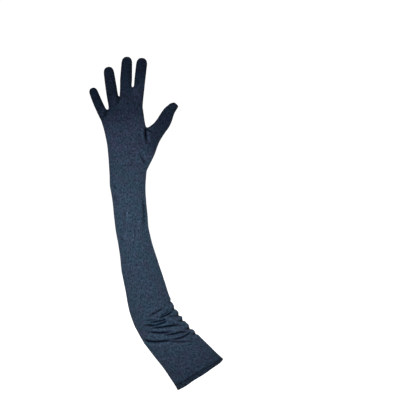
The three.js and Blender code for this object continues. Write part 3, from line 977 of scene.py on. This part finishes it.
def add_thread(bm, place, along, outward, thread):
    """One short thread that shows: a long rounded bead of thread lying on the cloth."""
    along, outward = Vector(along).normalized(), Vector(outward).normalized()
    side = along.cross(outward)
    turn = Matrix((along * thread.length / 2, side * thread.width / 2, outward * thread.height / 2))
    matrix = Matrix.Translation(Vector(place) * MM) @ turn.transposed().to_4x4()
    bmesh.ops.create_icosphere(bm, subdivisions=1, radius=MM, matrix=matrix)


def finish_threads(name, bm):
    """Makes one piece of the threads, and bends it to the glove's pose."""
    bmesh.ops.recalc_face_normals(bm, faces=bm.faces)
    piece = new_object(name, bm)
    bend(piece.data, places_of(piece.data))
    return piece


def seam_stitches(places, outwards):
    """The seam's threads, which cross the groove between the two panels."""
    bm = bmesh.new()
    sunk = [(p - o * SEAM_THREAD_SUNK * MM) / MM for p, o in zip(places, outwards)]
    line = np.array([(x, 0, z) for x, _, z in sunk])
    for (x, _, z), (run_x, _, run_z) in zip(*even_places(line, SEAM_THREAD.pitch)):
        outward = Vector((-run_z, 0, run_x))
        add_thread(bm, (x, 0, z), (0, 1, 0), outward, SEAM_THREAD)
    return finish_threads("seam_stitches", bm)


def hem_stitches():
    """The row of threads that holds the hem."""
    line = line_above(HEM_THREAD_RISE)
    ring = ring_points(line, 2 * HEM_SIDES, HEM_THREAD_SUNK - HEM_PROUD)
    ring = np.vstack([ring, ring[:1]])
    up = along_of(line)
    bm = bmesh.new()
    for place, run in zip(*even_places(ring, HEM_THREAD.pitch)):
        outward = Vector(run).cross(Vector((up[0], 0, up[1])))
        add_thread(bm, place, run, outward, HEM_THREAD)
    return finish_threads("hem_stitches", bm)


# Materials

def new_group(name, inputs, outputs):
    """A node group with named sockets: each input with its kind and value, and each output's kind."""
    group = bpy.data.node_groups.new(name, "ShaderNodeTree")
    for label, (kind, value) in inputs.items():
        socket = group.interface.new_socket(name=label, in_out="INPUT", socket_type=kind)
        if value is not None:
            socket.default_value = value
    for label, kind in outputs.items():
        group.interface.new_socket(name=label, in_out="OUTPUT", socket_type=kind)
    return group, group.nodes.new("NodeGroupInput"), group.nodes.new("NodeGroupOutput")


def connect(tree, value, target):
    """Feeds a socket from another socket, or sets it to a constant."""
    if isinstance(value, bpy.types.NodeSocket):
        tree.links.new(value, target)
    else:
        target.default_value = value


def math_node(tree, operation, *values):
    node = tree.nodes.new("ShaderNodeMath")
    node.operation = operation
    for target, value in zip(node.inputs, values):
        connect(tree, value, target)
    return node.outputs[0]


def mix_colour(tree, factor, first, second, mode="MIX"):
    """Mixes two colours. A factor over 1 goes on past the second, as raised folds need."""
    node = tree.nodes.new("ShaderNodeMix")
    node.data_type = "RGBA"
    node.blend_type = mode
    node.clamp_factor = False
    for name, value in (("Factor_Float", factor), ("A_Color", first), ("B_Color", second)):
        connect(tree, value, next(item for item in node.inputs if item.identifier == name))
    return next(item for item in node.outputs if item.identifier == "Result_Color")


def times(tree, first, second):
    """One colour multiplied by another."""
    return mix_colour(tree, 1, first, second, "MULTIPLY")


def grey(tree, value):
    """A value as a colour, to multiply other colours by."""
    node = tree.nodes.new("ShaderNodeCombineColor")
    for channel in node.inputs:
        tree.links.new(value, channel)
    return node.outputs[0]


def noise_value(tree, vector, fineness, detail):
    node = tree.nodes.new("ShaderNodeTexNoise")
    node.inputs["Scale"].default_value = fineness
    node.inputs["Detail"].default_value = detail
    tree.links.new(vector, node.inputs["Vector"])
    return node.outputs["Fac"]


def steps_of(tree, value, begin, end, first, last):
    """A value that goes gently from first to last as another goes from begin to end."""
    node = tree.nodes.new("ShaderNodeMapRange")
    node.interpolation_type = "SMOOTHSTEP"
    numbers = {"From Min": begin, "From Max": end, "To Min": first, "To Max": last}
    for name, number in numbers.items():
        node.inputs[name].default_value = number
    tree.links.new(value, node.inputs["Value"])
    return node.outputs["Result"]


def uneven_value(tree, cloth, uneven):
    """A value that varies over the cloth with one of the yarn's unevennesses."""
    node = tree.nodes.new("ShaderNodeMapping")
    node.inputs["Scale"].default_value = (1, uneven.along, 1)
    tree.links.new(cloth, node.inputs["Vector"])
    value = noise_value(tree, node.outputs["Vector"], uneven.fineness, uneven.detail)
    return steps_of(tree, value, uneven.begin, uneven.end, uneven.first, uneven.last)


def heather_group():
    """Heathered yarn: uneven tone at the scale of stitches and of small blotches, a slow drift between
    a greenish and a reddish blue, and tiny pale flecks. Stretched cloth is paler, and half-stretched
    cloth and the hand have a violet cast."""
    group, given, made = new_group(
        "heather_yarn",
        {
            "Cloth": ("NodeSocketVector", None),
            "Stretch": ("NodeSocketFloat", 0.5),
            "Hand": ("NodeSocketFloat", 0),
            "Relaxed": ("NodeSocketColor", RELAXED),
            "Stretched": ("NodeSocketColor", TAUT),
        },
        {"Color": "NodeSocketColor"},
    )
    cloth = given.outputs["Cloth"]
    stretch = given.outputs["Stretch"]
    colour = mix_colour(group, stretch, given.outputs["Relaxed"], given.outputs["Stretched"])
    slack = math_node(group, "MAXIMUM", math_node(group, "SUBTRACT", 1, stretch), 0)
    half_way = math_node(group, "MULTIPLY", math_node(group, "MULTIPLY", slack, stretch), 4)
    for mask, cast in ((half_way, VIOLET_CAST), (given.outputs["Hand"], HAND_CAST)):
        colour = times(group, colour, mix_colour(group, mask, WHITE, cast))
    drift = mix_colour(group, uneven_value(group, cloth, DRIFT), GREENISH, REDDISH)
    colour = times(group, colour, drift)
    tone = 1
    for uneven in YARN_TONES:
        tone = math_node(group, "MULTIPLY", tone, uneven_value(group, cloth, uneven))
    colour = times(group, colour, grey(group, tone))
    pale = times(group, colour, FLECK_TINT)
    fleck = uneven_value(group, cloth, FLECKS)
    group.links.new(mix_colour(group, fleck, colour, pale), made.inputs["Color"])
    return group


def knit_group():
    """Fine jersey: ribs of slanted stitches, as a height and as painted shade between them, with a
    painted highlight on their tops.
    """
    group, given, made = new_group(
        "jersey_knit",
        {
            "Cloth": ("NodeSocketVector", None),
            "Wale": ("NodeSocketFloat", WALE * MM),
            "Course": ("NodeSocketFloat", COURSE * MM),
        },
        {"Height": "NodeSocketFloat", "Shade": "NodeSocketFloat"},
    )
    parts = group.nodes.new("ShaderNodeSeparateXYZ")
    group.links.new(given.outputs["Cloth"], parts.inputs[0])
    across = math_node(group, "DIVIDE", parts.outputs["X"], given.outputs["Wale"])
    turn = math_node(group, "MULTIPLY", across, math.pi)
    rib = math_node(group, "ABSOLUTE", math_node(group, "SINE", turn))
    slant = math_node(group, "PINGPONG", across, 0.5)
    up = math_node(group, "DIVIDE", parts.outputs["Y"], given.outputs["Course"])
    stitch = math_node(group, "MULTIPLY", math_node(group, "SUBTRACT", up, slant), 2 * math.pi)
    loop = math_node(group, "MULTIPLY", math_node(group, "SINE", stitch), STITCH_HEIGHT)
    height = math_node(group, "ADD", rib, loop)
    group.links.new(height, made.inputs["Height"])
    group.links.new(steps_of(group, height, *KNIT_SHADE), made.inputs["Shade"])
    return group


def painted_shade_group():
    """Painted shade: how cloth darkens where it folds in on itself and along its seams."""
    group, given, made = new_group(
        "painted_crease_and_seam_shade",
        {
            "Color": ("NodeSocketColor", TAUT),
            "Crease": ("NodeSocketFloat", 0),
            "Seam": ("NodeSocketFloat", 0),
        },
        {"Color": "NodeSocketColor"},
    )
    colour = given.outputs["Color"]
    for label, tint in (("Crease", CREASE_SHADE_TINT), ("Seam", SEAM_SHADE_TINT)):
        colour = mix_colour(group, given.outputs[label], colour, times(group, colour, tint))
    group.links.new(colour, made.inputs["Color"])
    return group


def placed_group(tree, group, inputs):
    node = tree.nodes.new("ShaderNodeGroup")
    node.node_tree = group
    for name, value in inputs.items():
        connect(tree, value, node.inputs[name])
    return node.outputs


def new_material(name, finish):
    """A material whose shader has the values of a finish."""
    material = bpy.data.materials.new(name)
    material.use_nodes = True
    shader = material.node_tree.nodes["Principled BSDF"]
    for label, value in finish.items():
        shader.inputs[label].default_value = value
    return material, material.node_tree, shader


def add_bump(tree, height, depth, strength, shader):
    bump = tree.nodes.new("ShaderNodeBump")
    bump.inputs["Distance"].default_value = depth * MM
    bump.inputs["Strength"].default_value = strength
    tree.links.new(height, bump.inputs["Height"])
    tree.links.new(bump.outputs["Normal"], shader.inputs["Normal"])


def jersey_material(name, groups):
    """Matt heathered stretch jersey with a faint sheen."""
    material, tree, shader = new_material(name, JERSEY_FINISH)
    found = {}
    for label in ("cloth", "stretch", "hand", "crease", "seam"):
        found[label] = tree.nodes.new("ShaderNodeAttribute")
        found[label].attribute_name = label
    cloth = found["cloth"].outputs["Vector"]
    yarn = placed_group(tree, groups["heather"], {
        "Cloth": cloth,
        # The stretch attribute also carries the painted highlight of raised cloth
        "Stretch": found["stretch"].outputs["Fac"],
        "Hand": found["hand"].outputs["Fac"],
        "Relaxed": RELAXED,
        "Stretched": TAUT,
    })
    knit = placed_group(tree, groups["knit"], {"Cloth": cloth})
    # Painted shade in the creases and along the seams and hem
    tone = placed_group(tree, groups["painted_shade"], {
        "Color": times(tree, yarn["Color"], grey(tree, knit["Shade"])),
        "Crease": found["crease"].outputs["Fac"],
        "Seam": found["seam"].outputs["Fac"],
    })
    tree.links.new(tone["Color"], shader.inputs["Base Color"])
    add_bump(tree, knit["Height"], *KNIT_BUMP, shader)
    return material


def thread_material(groups):
    """Matt navy sewing thread with the unevenness of the yarn."""
    material, tree, shader = new_material("sewing_thread", THREAD_FINISH)
    place = tree.nodes.new("ShaderNodeTexCoord").outputs["Object"]
    yarn = placed_group(tree, groups["heather"], {
        "Cloth": place,
        "Stretch": THREAD_STRETCH,
        "Relaxed": THREAD_RELAXED,
        "Stretched": THREAD_TAUT,
    })
    tree.links.new(yarn["Color"], shader.inputs["Base Color"])
    add_bump(tree, noise_value(tree, place, THREAD_FINENESS, 1), *THREAD_BUMP, shader)
    return material


# Camera and stage

def make_camera():
    data = bpy.data.cameras.new("camera")
    data.sensor_width = SENSOR
    data.lens = SENSOR * CAMERA_DISTANCE / VIEW_WIDTH
    data.clip_end = VIEW_REACH
    camera = bpy.data.objects.new("camera", data)
    roll = math.radians(VIEW_ROLL)
    right = Vector((math.cos(roll), 0, -math.sin(roll)))
    up = Vector((math.sin(roll), 0, math.cos(roll)))
    turn = Matrix((right, up, Vector((0, -1, 0)))).transposed().to_4x4()
    x, z = VIEW_CENTRE
    camera.matrix_world = Matrix.Translation(Vector((x, -CAMERA_DISTANCE, z)) * MM) @ turn
    bpy.context.scene.collection.objects.link(camera)
    bpy.context.scene.camera = camera


def add_lamp(lamp):
    data = bpy.data.lights.new(lamp.name, "AREA")
    data.energy = lamp.power
    data.size = lamp.size
    light = bpy.data.objects.new(lamp.name, data)
    light.location = lamp.place
    light.rotation_mode = "QUATERNION"
    towards = Vector(LAMP_TARGET) - Vector(lamp.place)
    light.rotation_quaternion = towards.to_track_quat("-Z", "Y")
    bpy.context.scene.collection.objects.link(light)


def set_glow(tree, strength, cast, added):
    """Sets how strongly the stage glows: in the light that it casts, and more where it is seen."""
    seen = tree.nodes.new("ShaderNodeLightPath").outputs["Is Camera Ray"]
    tree.links.new(math_node(tree, "MULTIPLY_ADD", seen, added, cast), strength)


def make_stage():
    """A plain pale floor below the glove, a white surround and soft lamps."""
    bm = bmesh.new()
    bmesh.ops.create_circle(bm, cap_ends=True, segments=FLOOR_SIDES, radius=FLOOR_RADIUS)
    bmesh.ops.translate(bm, verts=bm.verts, vec=(0, 0, FLOOR_HEIGHT))
    floor = new_object("floor", bm)
    material, tree, shader = new_material("floor_paper", FLOOR_FINISH)
    set_glow(tree, shader.inputs["Emission Strength"], *FLOOR_GLOW)
    floor.data.materials.append(material)
    world = bpy.data.worlds.new("surround")
    world.use_nodes = True
    back = world.node_tree.nodes["Background"]
    back.inputs["Color"].default_value = WHITE
    set_glow(world.node_tree, back.inputs["Strength"], *SURROUND_GLOW)
    bpy.context.scene.world = world
    for lamp in LAMPS:
        add_lamp(lamp)


# The glove and its surroundings

make_camera()
make_stage()

hand = joined_hand()
relax(hand, hand.verts[:], JOIN_ROUNDS)
press_creases(hand)
back_panel, seam = panel("back_panel", hand, -1)
palm_panel, _ = panel("palm_panel", hand, 1)
hand.free()
hem_band = hem()
seam_threads = seam_stitches(*seam)
hem_threads = hem_stitches()

groups = {"heather": heather_group(), "knit": knit_group(), "painted_shade": painted_shade_group()}
jersey = jersey_material("jersey", groups)
hem_jersey = jersey_material("hem_jersey", groups)
thread = thread_material(groups)

LENGTHS = ("sleeve", "forearm", "hand", *(finger.name for finger in FINGERS), "thumb")
for piece, side in ((back_panel, "back"), (palm_panel, "palm")):
    piece.data.materials.append(jersey)
    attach(piece, "root")
    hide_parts(*(f"{side}_{length}" for length in LENGTHS))
hem_band.data.materials.append(hem_jersey)
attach(hem_band, "root")
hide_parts("hem")
for piece in (seam_threads, hem_threads):
    piece.data.materials.append(thread)
    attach(piece, "root")

bpy.context.scene.view_settings.view_transform = "Standard"
